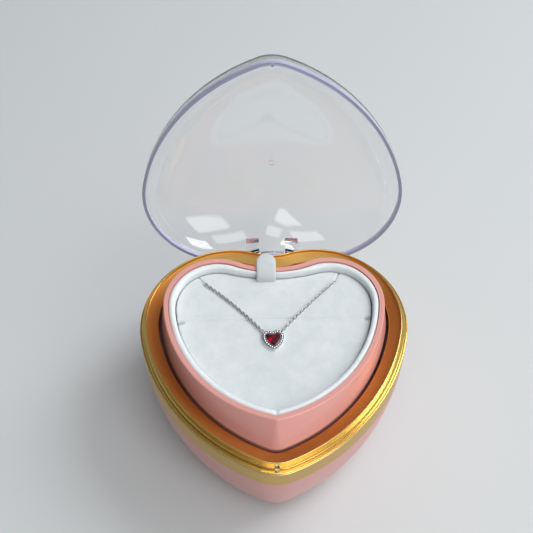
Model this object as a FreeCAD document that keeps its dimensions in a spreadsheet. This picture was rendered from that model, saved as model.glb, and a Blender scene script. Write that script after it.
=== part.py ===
# Heart-shaped wind-up music box: a pink shell with a gold rim and a clear hinged lid, an inner
# cup with a velvet insert and a necklace, and an 18-note movement wound by a key underneath.
# Millimetres, +Z up, resting on the plane z = 0, the heart's point towards -Y.
import FreeCAD, Part
import math
import os
import Sketcher
from FreeCAD import Placement, Rotation, Vector

SIZES = {
    # the finished object's origin is this far behind the heart outline's own origin
    "frame_y": 7.7,
    # heart outline of the gold rim: two lobes, two long sides, a point and a cleft, all arcs
    "rim_half_width": 53.0, "rim_lobe_radius": 36.2, "rim_lobe_y": 3.8, "rim_point_y": -43.6,
    "rim_point_radius": 16.5, "rim_side_radius": 76.0, "rim_cleft_radius": 16.35,
    # heart outline of the inner cup's top edge
    "cup_half_width": 43.0, "cup_lobe_radius": 20.75, "cup_lobe_y": 6.4, "cup_point_y": -42.4,
    "cup_point_radius": 2.3, "cup_side_radius": 54.3, "cup_cleft_radius": 36.2,
    # the pad's cleft is shallower than the cup's
    "pad_cleft_radius": 60.0,
    # heart outline of the pendant
    "pendant_half_width": 4.05, "pendant_lobe_radius": 2.3, "pendant_lobe_y": 1.6,
    "pendant_point_y": -3.55, "pendant_point_radius": 0.7, "pendant_side_radius": 6.5,
    "pendant_cleft_radius": 1.3,
    # heights of the case
    "foot_height": 4.8, "shell_bottom": 1.8, "base_thick": 2.5, "rim_bottom": 40.1, "rim_top": 50.0,
    "lip_top": 53.6, "ledge_top": 51.65, "shelf_top": 51.35, "deck_bottom": 36.0, "deck_thick": 2.0,
    "cup_top": 62.0, "cup_wall": 2.0, "cup_floor": 2.0, "insert_seat": 53.5, "pad_top": 58.6,
    # outer shell
    "shell_wall": 2.0, "shell_bow": 90.0, "shell_round_start": 7.0, "shell_ring_inset": 14.0,
    # insets of the rim's profile from its outline
    "lip_outer": 2.5, "lip_inner": 3.1, "ledge_inner": 7.6, "cup_gap": 1.25,
    # lid
    "lid_inset": 1.0, "lid_wall": 1.25, "lid_seat": 51.45, "lid_skirt": 2.0, "lid_rise": 19.0,
    "lid_shrink": 0.56, "lid_skin": 1.6, "lid_centre_y": -9.0, "lid_open_angle": 101.4,
    "hinge_y": 35.05, "hinge_z": 45.3, "hinge_barrel": 2.2, "pin_radius": 0.8, "pin_half": 14.2,
    "notch_half": 10.75, "tongue_half": 8.5, "running_gap": 0.05,
    # winding key, shaft and well
    "key_x": -14.0, "key_y": -8.0, "key_span": 24.0, "key_height": 7.5, "key_thick": 1.6,
    "key_bottom": 1.3, "key_hub_radius": 3.4, "shaft_radius": 2.0, "well_radius": 16.0,
    "well_wall": 1.2, "well_top": 11.5,
    # musical movement
    "bed_bottom": 12.5, "bed_thick": 2.0,
    "axis_height": 21.0, "cylinder_radius": 5.0, "cylinder_length": 20.0, "cylinder_start": 1.0,
    "cylinder_shaft_radius": 1.0, "crown_radius": 11.0, "crown_teeth": 40, "pinion_teeth": 10,
    "train_module": 0.5, "comb_thick": 1.0, "comb_teeth": 18,
    "housing_radius": 8.4, "housing_bottom": 20.0, "housing_height": 9.5,
}

doc = FreeCAD.newDocument("HeartMusicBox")
sheet = doc.addObject("Spreadsheet::Sheet", "Sizes")
for row, (alias, value) in enumerate(SIZES.items(), start=1):
    sheet.set(f"A{row}", alias)
    sheet.set(f"B{row}", str(value))
    sheet.setAlias(f"B{row}", alias)
doc.recompute()

NODES = []


def size(alias):
    """A driving dimension, read from the sheet."""
    return float(sheet.get(alias))


def node(label, item, own_y=0):
    """Name a finished sub-part and put it in the object's own frame."""
    item.Label = label
    item.setExpression("Placement.Base.y", str(own_y) + " - Sizes.frame_y")
    NODES.append(item)
    return item


def settled(shape):
    """The same shape with its own placement worked into its geometry."""
    place = shape.Placement.toMatrix()
    plain = shape.copy()
    plain.Placement = Placement()
    return plain.transformed(place, copy=True)


def shape_node(label, shape):
    """A sub-part whose shape comes from Part's own functions."""
    feature = doc.addObject("Part::Feature", label)
    feature.Shape = settled(shape)
    return node(label, feature)


def primitive(kind, name, at, turn=None, **sizes):
    """A Part primitive: sizes and the place are expressions on the sheet."""
    item = doc.addObject("Part::" + kind, name)
    if turn:
        item.Placement = Placement(Vector(), Rotation(Vector(*turn[0]), turn[1]))
    for axis, value in zip("xyz", at):
        item.setExpression("Placement.Base." + axis, str(value))
    for prop, value in sizes.items():
        item.setExpression(prop, str(value))
    return item


def fuse(name, parts):
    item = doc.addObject("Part::MultiFuse", name)
    item.Shapes = parts
    return item


def cut(name, base, tools):
    item = doc.addObject("Part::Cut", name)
    item.Base = base
    item.Tool = tools[0] if len(tools) == 1 else fuse(name + "_tools", tools)
    return item


# ---------------------------------------------------------------- heart outlines
def heart(prefix):
    """The seven sizes of one heart outline."""
    keys = ("half_width", "lobe_radius", "lobe_y", "point_y", "point_radius", "side_radius",
            "cleft_radius")
    return {key: size(prefix + "_" + key) for key in keys}


RIM = heart("rim")
CUP = heart("cup")
SOFT = {**CUP, "cleft_radius": size("pad_cleft_radius")}


def heart_arcs(outline, inset=0.0):
    """The outline's arcs, clockwise from the right lobe: (x, y, radius, start, end, bulge).

    bulge is 1 where the outline is convex and -1 in the cleft. Past the point's own radius an
    inset outline has no point arc: its two sides meet in a V.
    """
    lobe_x = outline["half_width"] - outline["lobe_radius"]
    lobe_y = outline["lobe_y"]
    point_y = outline["point_y"]
    reach_lobe = outline["side_radius"] - outline["lobe_radius"]
    reach_point = outline["side_radius"] - outline["point_radius"]
    gap = math.hypot(lobe_x, point_y - lobe_y)
    along = (reach_lobe ** 2 - reach_point ** 2 + gap ** 2) / (2.0 * gap)
    off = math.sqrt(reach_lobe ** 2 - along ** 2)
    ux, uy = -lobe_x / gap, (point_y - lobe_y) / gap
    side_x = lobe_x + along * ux + off * uy
    side_y = lobe_y + along * uy - off * ux
    cleft_y = lobe_y + math.sqrt((outline["cleft_radius"] + outline["lobe_radius"]) ** 2 - lobe_x ** 2)
    cleft_turn = math.atan2(lobe_y - cleft_y, lobe_x)
    lobe_start = math.atan2(cleft_y - lobe_y, -lobe_x)
    lobe_end = math.atan2(lobe_y - side_y, lobe_x - side_x)
    point_radius = outline["point_radius"] - inset
    side_radius = outline["side_radius"] - inset
    has_point = point_radius > 0.05
    side_end = math.atan2(point_y - side_y, -side_x) if has_point else -math.acos(-side_x / side_radius)
    lobe_radius = outline["lobe_radius"] - inset
    arcs = [(lobe_x, lobe_y, lobe_radius, lobe_start, lobe_end, 1),
            (side_x, side_y, side_radius, lobe_end, side_end, 1)]
    if has_point:
        arcs.append((0.0, point_y, point_radius, side_end, -math.pi - side_end, 1))
    arcs.append((-side_x, side_y, side_radius, math.pi - side_end, math.pi - lobe_end, 1))
    arcs.append((-lobe_x, lobe_y, lobe_radius, math.pi - lobe_end, math.pi - lobe_start, 1))
    arcs.append((0.0, cleft_y, outline["cleft_radius"] + inset, -math.pi - cleft_turn, cleft_turn, -1))
    return arcs


def heart_wire(outline, inset, z, scale=1.0, centre_y=0.0):
    """The outline at height z, moved in by inset and then shrunk towards (0, centre_y)."""
    edges = []
    for x, y, radius, start, end, _ in heart_arcs(outline, inset):
        points = []
        for angle in (start, (start + end) / 2.0, end):
            px = x + radius * math.cos(angle)
            py = y + radius * math.sin(angle)
            points.append(Vector(px * scale, centre_y + (py - centre_y) * scale, z))
        edges.append(Part.Arc(*points).toShape())
    return Part.Wire(edges)


def heart_plate(outline, inset, low, high):
    return Part.Face(heart_wire(outline, inset, low)).extrude(Vector(0, 0, high - low))


def heart_ring(outline, outer, inner, low, high):
    return heart_plate(outline, outer, low, high).cut(heart_plate(outline, inner, low, high))


def profile_edges(points, place):
    """Edges through points, each (inset, z), or (mid inset, mid z, inset, z) for an arc."""
    edges = []
    here = place(*points[0])
    for step in points[1:] + [points[0]]:
        there = place(*step[-2:])
        if len(step) == 4:
            edges.append(Part.Arc(here, place(*step[:2]), there).toShape())
        else:
            edges.append(Part.LineSegment(here, there).toShape())
        here = there
    return edges


def heart_sweep(outline, points):
    """A closed profile of (inset, z) points carried round the outline, arc by arc."""
    sectors = []
    for x, y, radius, start, end, bulge in heart_arcs(outline):
        def place(inset, z):
            reach = radius - bulge * inset
            return Vector(x + reach * math.cos(start), y + reach * math.sin(start), z)
        face = Part.Face(Part.Wire(profile_edges(points, place)))
        turn = math.degrees(end - start)
        sectors.append(face.revolve(Vector(x, y, 0), Vector(0, 0, 1), turn))
    return sectors[0].multiFuse(sectors[1:]).removeSplitter()


def box(low, high):
    """A plain block between two corners."""
    return Part.makeBox(high[0] - low[0], high[1] - low[1], high[2] - low[2], Vector(*low))


def rod(at, radius, length, along=(0, 0, 1)):
    return Part.makeCylinder(radius, length, Vector(*at), Vector(*along))


def group(shapes):
    """Separate solids that share one node."""
    return Part.makeCompound(shapes)


# ---------------------------------------------------------------- case
def bow_inset(z, offset=0.0):
    """How far the shell's bowed wall has come in at height z, offset inside its outer face."""
    bow = size("shell_bow")
    return bow - math.sqrt((bow - offset) ** 2 - (size("rim_bottom") - z) ** 2)


def outer_shell():
    """The pink bowl: a wall that bows in below the rim, rounds over and ends in a flat ring."""
    top, bottom, wall = size("rim_bottom"), size("shell_bottom"), size("shell_wall")
    start = size("shell_round_start")
    drop = top - start
    slope = math.asin(drop / size("shell_bow"))
    radius = (start - bottom) / (1.0 - math.sin(slope))
    centre_inset = bow_inset(start) + radius * math.cos(slope)
    centre_z = bottom + radius
    half = math.pi - (slope + math.pi / 2.0) / 2.0 + math.pi / 2.0
    ring = size("shell_ring_inset")
    floor = size("foot_height")
    mid = (top + start) / 2.0
    inner_low = 12.0
    inner_mid = (top + inner_low) / 2.0
    corner = (centre_inset + radius * math.cos(half), centre_z + radius * math.sin(half))
    profile = [(0.0, top),
               (bow_inset(mid), mid, bow_inset(start), start),
               corner + (centre_inset, bottom),
               (ring, bottom),
               (ring, floor),
               (9.0, floor),
               (bow_inset(inner_low, wall), inner_low),
               (bow_inset(inner_mid, wall), inner_mid, wall, top)]
    shell = heart_sweep(RIM, profile)
    for x, y in BASE_SCREWS:
        shell = shell.cut(rod((x, y, bottom - 1.0), 1.3, floor - bottom + 2.0))
    shape_node("outer_shell", shell)


def rim_bezel():
    """The gold rim: matte band, outer lip, channel and shelf, raised inner lip and ledge."""
    low, top = size("rim_bottom"), size("rim_top")
    shelf, lip, ledge = size("shelf_top"), size("lip_top"), size("ledge_top")
    lip_out, lip_in, inner = size("lip_outer"), size("lip_inner"), size("ledge_inner")
    profile = [(0.0, low), (0.0, top - 1.2), (0.3, top - 0.95), (0.05, top - 0.7), (0.05, top - 0.4),
               (0.17, top - 0.12, 0.45, top), (0.7, top - 0.4), (1.15, top - 0.4),
               (1.3, shelf - 0.15), (1.45, shelf), (lip_out, shelf), (lip_out, lip - 0.3),
               ((lip_out + lip_in) / 2.0, lip, lip_in, lip - 0.3), (lip_in + 0.05, ledge + 0.65),
               (inner - 0.2, ledge), (inner, ledge - 0.2), (inner, ledge - 1.3), (3.6, ledge - 1.3),
               (3.6, top - 1.8), (1.3, top - 1.8), (1.3, low + 1.1), (3.2, low + 1.1),
               (3.2, low - 1.5), (size("shell_wall") + 0.05, low - 1.5), (size("shell_wall") + 0.05, low)]
    bezel = heart_sweep(RIM, profile)
    hinge_y, hinge_z, half = size("hinge_y"), size("hinge_z"), size("notch_half")
    notch = heart_ring(RIM, -1.0, lip_out, low + 1.1, lip + 1.0)
    bezel = bezel.cut(notch.common(box((-half, 20.0, low), (half, 50.0, lip + 2.0))))
    lug_depth = 3.6
    for side in (-1, 1):
        near, far = sorted((side * half, side * (half + 3.8)))
        lug = box((near, hinge_y - 2.4, hinge_z - 2.7), (far, hinge_y + lug_depth, top - 1.8))
        bezel = bezel.fuse(lug.common(heart_plate(RIM, 1.3, low, top)))
    bore = rod((-size("pin_half") - 0.3, hinge_y, hinge_z), size("pin_radius") + size("running_gap"),
               2.0 * size("pin_half") + 0.6, (1, 0, 0))
    plunger_y = outline_point_y(RIM) + 1.9
    boss = rod((0, plunger_y + 0.5, top - 5.0), 2.0, 3.4)
    bezel = bezel.fuse(boss).cut(bore).removeSplitter()
    hole = rod((0, plunger_y, top - 8.7), 1.0, shelf - top + 9.2)
    shape_node("rim_bezel", bezel.cut(hole))


def outline_point_y(outline):
    """Where the outline's point is on the middle plane."""
    return outline["point_y"] - outline["point_radius"]


def outline_cleft_y(outline):
    """Where the outline's cleft is on the middle plane."""
    cleft = heart_arcs(outline)[-1]
    return cleft[1] - cleft[2]


BASE_SCREWS = [(-38.0, 16.0), (38.0, 16.0), (-26.8, -30.0), (26.8, -30.0)]
DECK_POSTS = [(-38.0, 7.0), (38.0, 7.0), (0.0, -41.0), (0.0, 20.0)]
BED_POSTS = [(-25.4, -28.4), (27.0, -18.0), (-25.4, 9.6), (14.0, 9.0)]
FEET = [(-29.0, 9.0), (29.0, 9.0), (-12.0, -30.0), (12.0, -30.0)]
CUP_SCREWS = [(-26.0, 6.0), (26.0, 6.0), (0.0, -34.0)]


def base_plate():
    """The floor that carries the movement, with posts for the deck and for the bedplate."""
    low = size("foot_height")
    top = low + size("base_thick")
    plate = heart_plate(RIM, 9.4, low, top)
    for x, y in DECK_POSTS:
        plate = plate.fuse(rod((x, y, top), 3.0, size("deck_bottom") - top))
    for x, y in BED_POSTS:
        plate = plate.fuse(rod((x, y, top), 2.6, size("bed_bottom") - top))
    opening = size("well_radius") - size("well_wall")
    plate = plate.cut(rod((size("key_x"), size("key_y"), low), opening, size("base_thick")))
    for x, y in DECK_POSTS:
        plate = plate.cut(rod((x, y, size("deck_bottom") - 8.0), 1.2, 8.0))
    for x, y in BED_POSTS:
        plate = plate.cut(rod((x, y, size("bed_bottom") - 5.0), 1.0, 5.0))
    for x, y in FEET:
        plate = plate.cut(rod((x, y, low), 1.5, size("base_thick")))
    for x, y in BASE_SCREWS:
        plate = plate.cut(rod((x, y, low), 1.0, size("base_thick")))
    shape_node("base_plate", plate)


def screw(at, head_radius, head_height, radius, length):
    """A pan-head screw pointing down from the underside of its head at the given place."""
    head = rod(at, head_radius, head_height)
    slot = box((at[0] - head_radius, at[1] - 0.2, at[2] + head_height * 0.6),
               (at[0] + head_radius, at[1] + 0.2, at[2] + head_height))
    shank = rod((at[0], at[1], at[2] - length), radius, length)
    return head.fuse(shank).cut(slot)


def feet():
    """Four rubber feet plugged into the base plate."""
    height = size("foot_height")
    pads = []
    for x, y in FEET:
        disc = Part.makeCone(3.6, 4.2, height, Vector(x, y, 0))
        pads.append(disc.fuse(rod((x, y, height), 1.45, size("base_thick"))))
    shape_node("rubber_feet", group(pads))


def deck_plate():
    """The flat deck over the movement that the inner cup stands on."""
    low = size("deck_bottom")
    deck = heart_plate(RIM, 3.3, low, low + size("deck_thick"))
    for x, y in DECK_POSTS:
        deck = deck.cut(rod((x, y, low), 1.5, size("deck_thick")))
    for x, y in CUP_SCREWS:
        deck = deck.cut(rod((x, y, low), 1.3, size("deck_thick")))
    slot_y = outline_point_y(RIM) + 6.5
    deck = deck.cut(box((-1.6, slot_y - 1.2, low), (1.6, slot_y + 1.2, low + size("deck_thick"))))
    shape_node("deck_plate", deck)


def inner_cup():
    """The pink heart cup: straight below the rim's ledge, leaning in above it to its top edge."""
    low = size("deck_bottom") + size("deck_thick")
    knee, top, wall = size("ledge_top"), size("cup_top"), size("cup_wall")
    foot_inset = size("ledge_inner") + size("cup_gap")
    lower = heart_plate(RIM, foot_inset, low, knee)
    edge = 0.35
    rings = [heart_wire(RIM, foot_inset, knee), heart_wire(CUP, 0.0, top - edge),
             heart_wire(CUP, edge, top)]
    upper = Part.makeLoft(rings, True, True)
    seat = size("insert_seat")
    body = lower.fuse(upper)
    body = body.cut(heart_plate(CUP, wall, seat, top + 1.0))
    body = body.cut(heart_plate(CUP, 6.6, low + size("cup_floor"), seat))
    for x, y in CUP_SCREWS:
        body = body.cut(rod((x, y, low), 1.0, size("cup_floor")))
    for x, y in DECK_POSTS:
        body = body.cut(rod((x, y, low), 2.7, 1.7))
    shape_node("inner_cup", body.removeSplitter())


# ---------------------------------------------------------------- velvet insert and necklace
TAB_X = -2.8
TAB_HALF = 3.9


def velvet():
    """Insert board and pad, the padded roll inside the cup's edge and the pull tab."""
    seat, top, wall = size("insert_seat"), size("pad_top"), size("cup_wall")
    roll_in = wall + 2.55
    pad_inset = roll_in + 0.35
    board = heart_plate(SOFT, pad_inset, seat, seat + 1.5)
    tab_y = outline_cleft_y(SOFT) - pad_inset
    strap = box((TAB_X - TAB_HALF, tab_y - 1.3, seat + 1.5), (TAB_X + TAB_HALF, tab_y + 2.0, top))
    pad = heart_plate(SOFT, pad_inset, seat + 1.5, top).cut(strap)
    shape_node("insert_board", board)
    shape_node("velvet_pad", pad)
    roll_low, roll_top = seat + 3.0, size("cup_top") - 0.1
    roll = heart_plate(CUP, wall + 0.05, roll_low, roll_top)
    roll = roll.cut(heart_plate(SOFT, roll_in, roll_low - 1.0, roll_top + 1.0))
    shape_node("velvet_roll", roll)
    thick, length = 1.2, 9.1
    bend = size("cup_top") + 0.35
    up = box((TAB_X - TAB_HALF, tab_y - 1.25, seat + 1.5), (TAB_X + TAB_HALF, tab_y - 1.25 + thick, bend + thick))
    flap = box((TAB_X - TAB_HALF, tab_y - 1.25, bend), (TAB_X + TAB_HALF, tab_y + length - TAB_HALF, bend + thick))
    end = rod((TAB_X, tab_y + length - TAB_HALF, bend), TAB_HALF, thick)
    shape_node("pull_tab", up.fuse([flap, end]).removeSplitter())


LINK_LENGTH = 1.9
LINK_WIDTH = 1.35
LINK_WIRE = 0.19


def chain_link(middle, heading, upright):
    """One oval wire link, its long axis along heading in the plane, flat or on its edge."""
    bend = (LINK_WIDTH / 2.0) - LINK_WIRE
    half = LINK_LENGTH / 2.0 - LINK_WIRE - bend
    a, b = Vector(-half, bend, 0), Vector(half, bend, 0)
    c, d = Vector(half, -bend, 0), Vector(-half, -bend, 0)
    edges = [Part.LineSegment(a, b).toShape(),
             Part.Arc(b, Vector(half + bend, 0, 0), c).toShape(),
             Part.LineSegment(c, d).toShape(),
             Part.Arc(d, Vector(-half - bend, 0, 0), a).toShape()]
    path = Part.Wire(edges)
    section = Part.Wire(Part.makeCircle(LINK_WIRE, a, Vector(1, 0, 0)))
    link = path.makePipeShell([section], True, False)
    if upright:
        link.rotate(Vector(), Vector(1, 0, 0), 90)
    link.rotate(Vector(), Vector(0, 0, 1), math.degrees(heading))
    link.translate(middle)
    return link


def chain(label, start, end, sag):
    """A run of cable chain lying on the pad from a slit to the pendant, bowed by sag."""
    top = size("pad_top")
    height = top + LINK_WIDTH / 2.0 + 0.03
    length = math.hypot(end[0] - start[0], end[1] - start[1])
    pitch = LINK_LENGTH - 4.0 * LINK_WIRE - 0.03
    count = int(length / pitch) + 1
    ux, uy = (end[0] - start[0]) / length, (end[1] - start[1]) / length

    def place(part):
        bow = 4.0 * sag * part * (1.0 - part)
        return start[0] + ux * length * part - uy * bow, start[1] + uy * length * part + ux * bow

    links = []
    for index in range(count):
        part = (index + 0.5) / count
        x, y = place(part)
        near, far = place(part - 0.01), place(part + 0.01)
        heading = math.atan2(far[1] - near[1], far[0] - near[0])
        links.append(chain_link(Vector(x, y, height), heading, index % 2 == 1))
    shape_node(label, group(links))


PENDANT = (-0.4, -9.55)


def pendant():
    """Heart pendant: a plate with a collar, a halo of small domed stones and one heart-cut stone."""
    outline = heart("pendant")
    low = size("pad_top") + 0.05
    plate_top = low + 1.3
    plate = heart_plate(outline, 0.0, low, plate_top)
    collar = heart_ring(outline, 1.1, 1.24, plate_top, plate_top + 0.3)
    loops = [Part.makeTorus(0.62, 0.2, Vector(side * 3.2, 3.3, plate_top - 0.35)) for side in (-1, 1)]
    setting = plate.fuse([collar] + loops)
    girdle = heart_plate(outline, 1.26, plate_top, plate_top + 0.4)
    crown = Part.makeLoft([heart_wire(outline, 1.26, plate_top + 0.4),
                           heart_wire(outline, 1.95, plate_top + 0.85)], True, True)
    stone = girdle.fuse(crown).removeSplitter()
    halo = heart_wire(outline, 0.56, plate_top)
    stones = [Part.makeSphere(0.42, point, Vector(0, 0, 1), 0, 90, 360)
              for point in halo.discretize(Number=25)[:24]]
    for label, shape in (("pendant_setting", setting), ("halo_stones", group(stones)),
                         ("heart_stone", stone)):
        shape.rotate(Vector(), Vector(0, 0, 1), 5.0)
        shape.translate(Vector(PENDANT[0], PENDANT[1], 0))
        shape_node(label, shape)


# ---------------------------------------------------------------- lid and hinge
def dome_rings(inset, low, rise, steps):
    """Shrinking heart outlines that climb a quarter ellipse from the skirt to the flat top."""
    rings = []
    for step in range(steps + 1):
        climb = math.sin(0.5 * math.pi * step / steps)
        scale = 1.0 - size("lid_shrink") * (1.0 - math.sqrt(max(0.0, 1.0 - climb ** 2)))
        rings.append(heart_wire(RIM, inset, low + rise * climb, scale, size("lid_centre_y")))
    return rings


def open_lid(shape):
    """Swing a shape from the closed lid's place to the open lid's."""
    shape.rotate(Vector(0, size("hinge_y"), size("hinge_z")), Vector(-1, 0, 0), size("lid_open_angle"))
    return shape


def bent_wire(inset, low_x, high_x, z):
    """A short steel wire that follows the cleft at an inset from the rim's outline."""
    _, y, reach, _, _, _ = heart_arcs(RIM, inset)[-1]
    start = math.asin(low_x / reach)
    middle = Vector(reach * math.sin(start), y - reach * math.cos(start), z)
    face = Part.Face(Part.Wire(Part.makeCircle(0.4, middle, Vector(math.cos(start), math.sin(start), 0))))
    turn = math.degrees(math.asin(high_x / reach) - start)
    return face.revolve(Vector(0, y, 0), Vector(0, 0, 1), turn)


def lid():
    """The clear lid: thin skirt, domed shell, a hinge tongue in the cleft and a pip at the point."""
    inset, wall, seat = size("lid_inset"), size("lid_wall"), size("lid_seat")
    skirt, rise, skin = size("lid_skirt"), size("lid_rise"), size("lid_skin")
    spring = seat + skirt
    steps = 7
    outside = heart_plate(RIM, inset, seat, spring).fuse(
        Part.makeLoft(dome_rings(inset, spring, rise, steps), True, False))
    inside = heart_plate(RIM, inset + wall, seat - 1.0, spring).fuse(
        Part.makeLoft(dome_rings(inset + wall, spring, rise - skin, steps), True, False))
    shell = outside.cut(inside)
    half, hinge_y, hinge_z = size("tongue_half"), size("hinge_y"), size("hinge_z")
    plate = heart_ring(RIM, inset, inset + wall + 0.05, hinge_z - 1.0, seat)
    plate = plate.common(box((-half, 20.0, 0.0), (half, 50.0, 60.0)))
    web = box((-half, hinge_y, hinge_z - 1.2), (half, 50.0, hinge_z + 1.6))
    web = web.common(heart_plate(RIM, inset, 0.0, 60.0))
    barrel = rod((-half, hinge_y, hinge_z), size("hinge_barrel"), 2.0 * half, (1, 0, 0))
    window = box((-half + 3.0, 33.0, hinge_z - 3.0), (half - 5.5, hinge_y + 1.3, hinge_z + 3.0))
    bore = rod((-half - 1.0, hinge_y, hinge_z), size("pin_radius") + size("running_gap"),
               2.0 * half + 2.0, (1, 0, 0))
    pip = rod((0, outline_point_y(RIM) + inset + 0.62, seat - 0.85), 0.55, 0.9)
    gate = rod((0, 1.6, spring + rise), 1.35, 0.3).cut(rod((0, 1.6, spring + rise), 0.95, 0.3))
    ribs = []
    for side in (-1, 1):
        near, far = sorted((side * 5.5, side * 10.9))
        rib = box((near, 30.6, spring + 0.7), (far, 50.0, spring + 4.2))
        ribs.append(rib.common(heart_plate(RIM, inset + 0.4, seat, spring + rise)))
    wall_middle = inset + wall / 2.0
    wires = [bent_wire(wall_middle, low_x, high_x, z) for low_x, high_x, z in (
        (-4.7, 0.9, spring + 0.8), (1.4, 4.9, spring + 0.8), (-7.7, -5.1, spring + 1.9))]
    body = shell.fuse([plate, web, barrel, pip, gate] + ribs).removeSplitter()
    body = body.cut([window, bore])
    shape_node("lid_dome", open_lid(body))
    shape_node("lid_wire", open_lid(group(wires)))


def hinge_pin():
    """The steel pin through both lugs of the rim and the lid's barrel."""
    pin = primitive("Cylinder", "hinge_pin", ("-Sizes.pin_half", "Sizes.hinge_y", "Sizes.hinge_z"),
                    ((0, 1, 0), 90), Radius="Sizes.pin_radius", Height="2 * Sizes.pin_half")
    node("hinge_pin", pin, "Sizes.hinge_y")


# ---------------------------------------------------------------- winding parts
def body_of(name):
    """An empty PartDesign body."""
    return doc.addObject("PartDesign::Body", name)


def plane_of(body, role):
    return [feature for feature in body.Origin.OriginFeatures if feature.Role == role][0]


def sketch_on(body, role, name):
    sketch = body.newObject("Sketcher::SketchObject", name)
    sketch.AttachmentSupport = [(plane_of(body, role), "")]
    sketch.MapMode = "FlatFace"
    return sketch


def circle(sketch, x, y, radius_expression, rough):
    """A circle whose radius follows the sheet."""
    index = sketch.addGeometry(Part.Circle(Vector(x, y, 0), Vector(0, 0, 1), rough), False)
    constraint = sketch.addConstraint(Sketcher.Constraint("Radius", index, rough))
    sketch.setExpression(f"Constraints[{constraint}]", radius_expression)
    return index


def pad_up(body, sketch, name, length_expression):
    feature = body.newObject("PartDesign::Pad", name)
    feature.Profile = sketch
    feature.setExpression("Length", length_expression)
    return feature


def key_well():
    """The dished cup in the base plate that the winding key turns in."""
    x, y = "Sizes.key_x", "Sizes.key_y"
    low = "Sizes.foot_height + Sizes.base_thick"
    flange = primitive("Cylinder", "well_flange", (x, y, low), Radius="Sizes.well_radius + 2", Height="1.2")
    drum = primitive("Cylinder", "well_drum", (x, y, low), Radius="Sizes.well_radius",
                     Height="Sizes.well_top - Sizes.foot_height - Sizes.base_thick")
    hollow = primitive("Cylinder", "well_hollow", (x, y, low), Radius="Sizes.well_radius - Sizes.well_wall",
                       Height="Sizes.well_top - Sizes.foot_height - Sizes.base_thick - Sizes.well_wall")
    shaft = primitive("Cylinder", "well_shaft_hole", (x, y, low), Radius="Sizes.shaft_radius + 1", Height="10")
    node("key_well", cut("key_well", fuse("well_solid", [flange, drum]), [hollow, shaft]))


def winding_key():
    """Butterfly key: two rounded wings on a square-sided hub."""
    x, y, low = size("key_x"), size("key_y"), size("key_bottom")
    height, thick, span = size("key_height"), size("key_thick"), size("key_span")
    hub = rod((x, y, low + 1.5), size("key_hub_radius"), height - 0.7)
    wings = box((x - span / 2.0 + 3.0, y - thick / 2.0, low), (x + span / 2.0 - 3.0, y + thick / 2.0, low + height))
    for side in (-1, 1):
        middle = x + side * (span / 2.0 - height / 2.0)
        wings = wings.fuse(rod((middle, y - thick / 2.0, low + height / 2.0), height / 2.0, thick, (0, 1, 0)))
    for side in (-1, 1):
        middle = x + side * (span / 2.0 - height / 2.0)
        wings = wings.cut(rod((middle, y - thick, low + height / 2.0), 1.7, 2.0 * thick, (0, 1, 0)))
    bore = rod((x, y, low + 3.0), size("shaft_radius"), height)
    shape_node("winding_key", hub.fuse(wings).removeSplitter().cut(bore))


def crown_wheel():
    """The great wheel: a disc on the winding shaft with crown teeth standing round its edge."""
    x, y = size("key_x"), size("key_y")
    pitch_z = size("axis_height") - size("crown_radius") * size("pinion_teeth") / size("crown_teeth")
    disc_top = pitch_z - 0.75
    wheel = rod((x, y, disc_top - 1.5), size("crown_radius") + 1.1, 1.5)
    wheel = wheel.fuse(rod((x, y, disc_top), 4.0, 2.4))
    count = int(size("crown_teeth"))
    width = 2.0 * math.pi * size("crown_radius") / count * 0.32
    teeth = []
    for index in range(count):
        tooth = box((size("crown_radius") - 1.1, -width / 2.0, disc_top - 0.2),
                    (size("crown_radius") + 1.05, width / 2.0, pitch_z + 0.55))
        tooth.rotate(Vector(), Vector(0, 0, 1), 360.0 * (index + 0.5) / count)
        tooth.translate(Vector(x, y, 0))
        teeth.append(tooth)
    wheel = wheel.multiFuse(teeth)
    bore = rod((x, y, disc_top - 2.0), size("shaft_radius"), 6.0)
    shape_node("great_wheel", wheel.cut(bore).removeSplitter())


def gear_blank(teeth, module, thick, at, phase):
    """A spur gear on an X axis: straight-sided teeth with generous backlash."""
    pitch_radius = teeth * module / 2.0
    step = 2.0 * math.pi / teeth
    points = []
    for index in range(teeth):
        middle = (index + phase) * step
        for radius, half in ((pitch_radius - 1.1 * module, 0.30), (pitch_radius + 0.75 * module, 0.12)):
            points.append((radius, middle - half * step))
        for radius, half in ((pitch_radius + 0.75 * module, 0.12), (pitch_radius - 1.1 * module, 0.30)):
            points.append((radius, middle + half * step))
    corners = [Vector(at[0], at[1] + r * math.cos(a), at[2] + r * math.sin(a)) for r, a in points]
    face = Part.Face(Part.makePolygon(corners + corners[:1]))
    return face.extrude(Vector(thick, 0, 0))


def winding_shaft():
    """The shaft that the key turns, up through the bedplate to the top of the spring housing."""
    x, y = "Sizes.key_x", "Sizes.key_y"
    blank = primitive("Cylinder", "winding_shaft_rod", (x, y, "Sizes.key_bottom + 3"),
                      Radius="Sizes.shaft_radius",
                      Height="Sizes.housing_bottom + Sizes.housing_height - Sizes.key_bottom - 1.5")
    tip = primitive("Cone", "winding_shaft_tip",
                    (x, y, "Sizes.housing_bottom + Sizes.housing_height + 1.5"),
                    Radius1="Sizes.shaft_radius", Radius2="Sizes.shaft_radius * 0.7", Height="0.8")
    node("winding_shaft", fuse("winding_shaft", [blank, tip]))


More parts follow.
